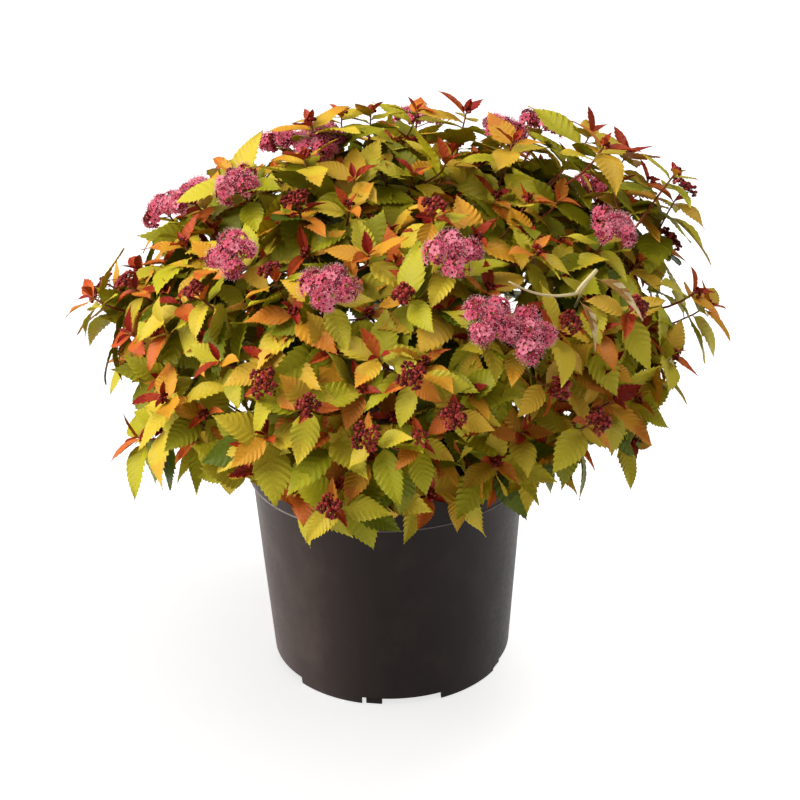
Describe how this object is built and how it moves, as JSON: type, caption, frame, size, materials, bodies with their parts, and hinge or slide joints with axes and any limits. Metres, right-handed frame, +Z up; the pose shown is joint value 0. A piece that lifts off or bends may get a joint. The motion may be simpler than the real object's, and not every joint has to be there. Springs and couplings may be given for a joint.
{
  "type": "potted spirea shrub",
  "caption": "Dome-shaped golden spirea shrub with orange-red young tips and pink flower heads, standing in a round dark nursery pot filled with compost.",
  "frame": {"origin": "middle of the flat pad under the pot's floor, which stands on the ground with the foot ring", "axes": "+Z up along the pot's axis; the front of the plant, as the picture shows it, faces -Y and +X is to its right"},
  "size_m": [0.4926, 0.5061, 0.4619],
  "materials": {
    "pot_plastic": "satin moulded dark brown-black polypropylene",
    "compost": "crumbly dark peat compost",
    "bark": "thin brown bark",
    "foliage": "satin leaves from lime and gold to orange-red, with pink flower heads"
  },
  "bodies": {
    "root": {"pot": "pot_plastic", "compost": "compost", "stem_base": "bark", "bough_low_1": "bark", "bough_low_2": "bark", "bough_low_3": "bark", "bough_low_4": "bark", "bough_low_5": "bark", "bough_low_6": "bark", "bough_low_7": "bark", "bough_low_8": "bark", "bough_middle_1": "bark", "bough_middle_2": "bark", "bough_middle_3": "bark", "bough_middle_4": "bark", "bough_middle_5": "bark", "bough_middle_6": "bark", "bough_middle_7": "bark", "bough_middle_8": "bark", "bough_upper_1": "bark", "bough_upper_2": "bark", "bough_upper_3": "bark", "bough_upper_4": "bark", "bough_upper_5": "bark", "bough_top": "bark", "foliage_low_1": "foliage", "foliage_low_2": "foliage", "foliage_low_3": "foliage", "foliage_low_4": "foliage", "foliage_low_5": "foliage", "foliage_low_6": "foliage", "foliage_low_7": "foliage", "foliage_low_8": "foliage", "foliage_middle_1": "foliage", "foliage_middle_2": "foliage", "foliage_middle_3": "foliage", "foliage_middle_4": "foliage", "foliage_middle_5": "foliage", "foliage_middle_6": "foliage", "foliage_middle_7": "foliage", "foliage_middle_8": "foliage", "foliage_upper_1": "foliage", "foliage_upper_2": "foliage", "foliage_upper_3": "foliage", "foliage_upper_4": "foliage", "foliage_upper_5": "foliage", "foliage_top": "foliage"}
  },
  "joints": []
}
